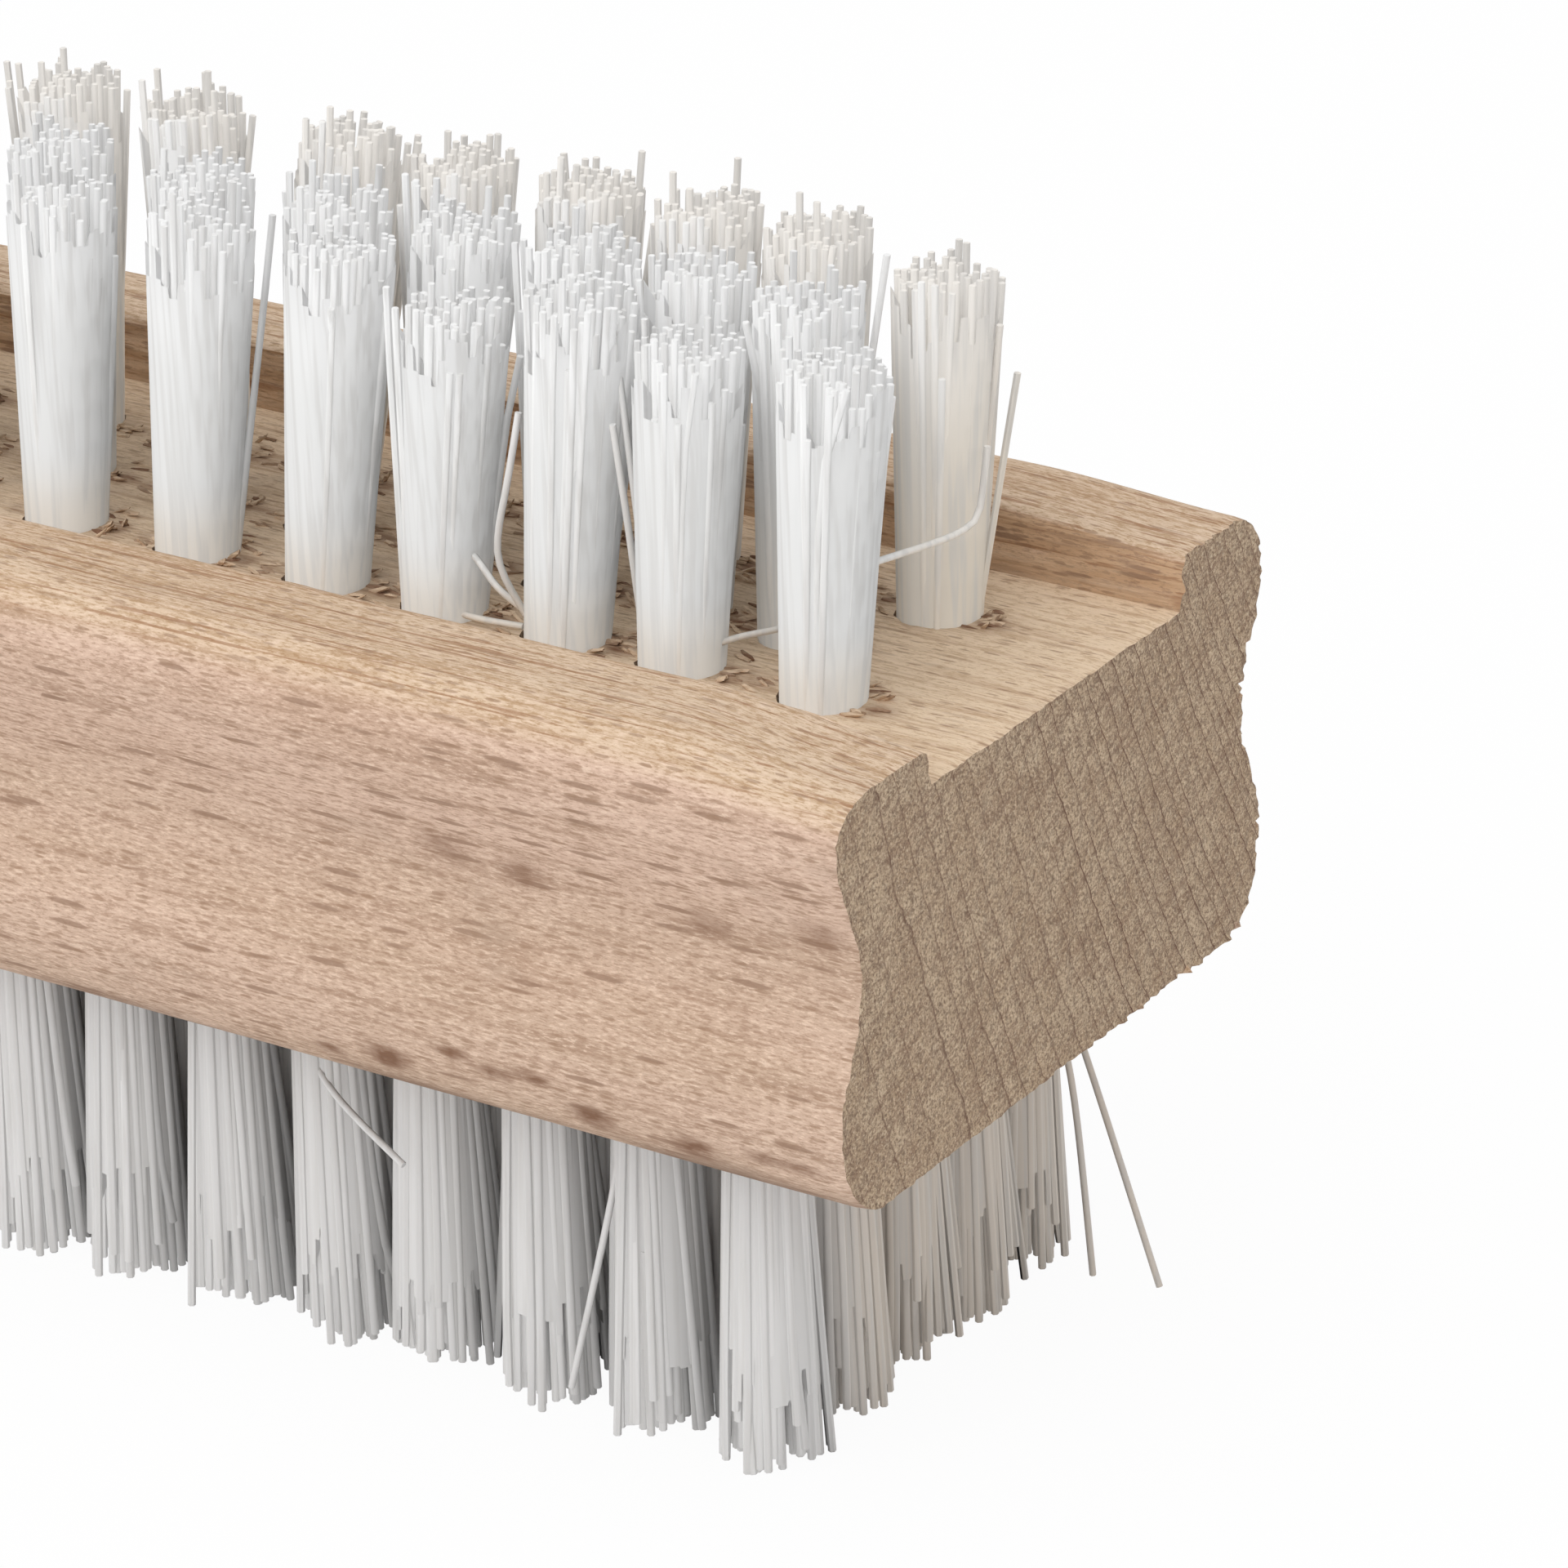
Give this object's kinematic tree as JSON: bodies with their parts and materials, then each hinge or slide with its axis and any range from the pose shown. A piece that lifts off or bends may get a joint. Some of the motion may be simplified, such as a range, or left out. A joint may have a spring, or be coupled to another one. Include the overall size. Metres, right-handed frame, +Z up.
{
  "type": "nail brush",
  "caption": "Two-sided hand brush: a waisted wooden block with nylon tufts in a shallow channel on top and in rows below, for scrubbing nails.",
  "frame": {"origin": "centre of the bounding box's bottom: under the middle of the block, on the plane that the lower tufts stand on", "axes": "+X along the block towards the sawn end that the picture shows, +Y across it, +Z up through the upper tufts"},
  "size_m": [0.092, 0.038, 0.0544],
  "materials": {
    "beech": "bare sanded beech with short dark flecks, rough-sawn ends",
    "nylon": "white translucent nylon fibre, satin, with raw cut tips"
  },
  "bodies": {
    "root": {"beech_block": "beech", "lower_tufts_inner_rows": "nylon", "upper_tuft_near_01": "nylon", "upper_tuft_near_02": "nylon", "upper_tuft_near_03": "nylon", "upper_tuft_near_04": "nylon", "upper_tuft_near_05": "nylon", "upper_tuft_near_06": "nylon", "upper_tuft_near_07": "nylon", "upper_tuft_near_08": "nylon", "upper_tuft_near_09": "nylon", "upper_tuft_near_10": "nylon", "upper_tuft_near_11": "nylon", "upper_tuft_middle_01": "nylon", "upper_tuft_middle_02": "nylon", "upper_tuft_middle_03": "nylon", "upper_tuft_middle_04": "nylon", "upper_tuft_middle_05": "nylon", "upper_tuft_middle_06": "nylon", "upper_tuft_middle_07": "nylon", "upper_tuft_middle_08": "nylon", "upper_tuft_middle_09": "nylon", "upper_tuft_middle_10": "nylon", "upper_tuft_far_01": "nylon", "upper_tuft_far_02": "nylon", "upper_tuft_far_03": "nylon", "upper_tuft_far_04": "nylon", "upper_tuft_far_05": "nylon", "upper_tuft_far_06": "nylon", "upper_tuft_far_07": "nylon", "upper_tuft_far_08": "nylon", "upper_tuft_far_09": "nylon", "upper_tuft_far_10": "nylon", "upper_tuft_far_11": "nylon", "lower_tuft_near_01": "nylon", "lower_tuft_near_02": "nylon", "lower_tuft_near_03": "nylon", "lower_tuft_near_04": "nylon", "lower_tuft_near_05": "nylon", "lower_tuft_near_06": "nylon", "lower_tuft_near_07": "nylon", "lower_tuft_near_08": "nylon", "lower_tuft_near_09": "nylon", "lower_tuft_near_10": "nylon", "lower_tuft_near_11": "nylon", "lower_tuft_near_12": "nylon", "lower_tuft_near_13": "nylon", "lower_tuft_far_01": "nylon", "lower_tuft_far_02": "nylon", "lower_tuft_far_03": "nylon", "lower_tuft_far_04": "nylon", "lower_tuft_far_05": "nylon", "lower_tuft_far_06": "nylon", "lower_tuft_far_07": "nylon", "lower_tuft_far_08": "nylon", "lower_tuft_far_09": "nylon", "lower_tuft_far_10": "nylon", "lower_tuft_far_11": "nylon", "lower_tuft_far_12": "nylon", "lower_tuft_far_13": "nylon"}
  },
  "joints": []
}
